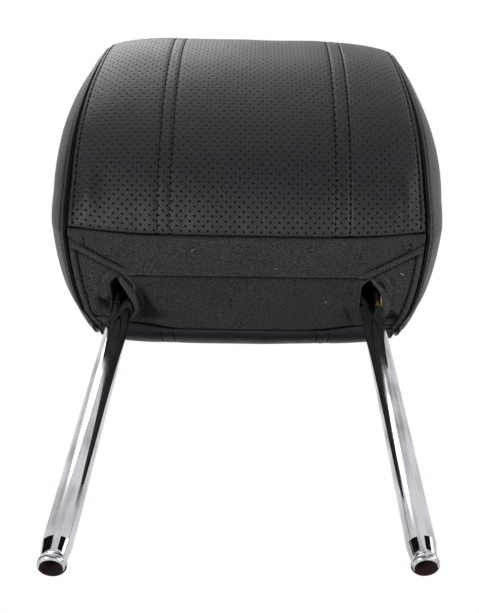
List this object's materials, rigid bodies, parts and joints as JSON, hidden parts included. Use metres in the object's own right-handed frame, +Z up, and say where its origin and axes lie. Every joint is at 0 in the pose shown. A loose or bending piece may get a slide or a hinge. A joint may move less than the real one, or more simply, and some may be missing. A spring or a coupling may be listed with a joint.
{
  "type": "car headrest",
  "caption": "Padded leather headrest with a perforated front and suede underside, tilting on a bent chromed tube whose two posts drop into the seat back.",
  "frame": {"origin": "midway between the two post axes, in the plane where the posts leave the head's underside", "axes": "+Z up along the posts towards the head, -Y towards the side that meets the person's head, +X to the right seen from that side"},
  "size_m": [0.264, 0.183, 0.411],
  "materials": {
    "chrome": "bright chrome plate on steel tube",
    "leather": "black grained leather on foam backing, perforated on the front",
    "suede": "dark grey microfibre suede with a short nap",
    "foam": "moulded polyurethane foam, yellowed",
    "plastic": "glass-filled nylon moulding, black",
    "nylon": "natural nylon",
    "steel": "zinc-plated steel",
    "rubber": "black rubber",
    "tape": "black hook and loop tape"
  },
  "bodies": {
    "posts": {"post_tube": "chrome"},
    "head": {"carrier_rear": "plastic", "carrier_front": "plastic", "friction_sleeve_left": "nylon", "friction_sleeve_right": "nylon", "sleeve_strap_left": "steel", "sleeve_strap_right": "steel", "strap_screw_left_upper": "steel", "strap_screw_left_lower": "steel", "strap_screw_right_upper": "steel", "strap_screw_right_lower": "steel", "carrier_screw_upper_left": "steel", "carrier_screw_lower_left": "steel", "carrier_screw_upper_right": "steel", "carrier_screw_lower_right": "steel", "rear_stop_pad_left": "rubber", "rear_stop_pad_right": "rubber", "front_stop_pad_left": "rubber", "front_stop_pad_right": "rubber", "foam_pad": "foam", "front_cover": "leather", "rear_cover": "leather", "side_cover_left": "leather", "side_cover_right": "leather", "base_flap_front": "suede", "base_flap_rear": "suede", "hook_tape": "tape", "loop_tape": "tape"}
  },
  "joints": [
    {"name": "head_tilt", "type": "hinge", "parent": "posts", "child": "head", "pos_m": [0, 0, 0.075], "axis": [1, 0, 0], "range_deg": [0, 11]}
  ]
}
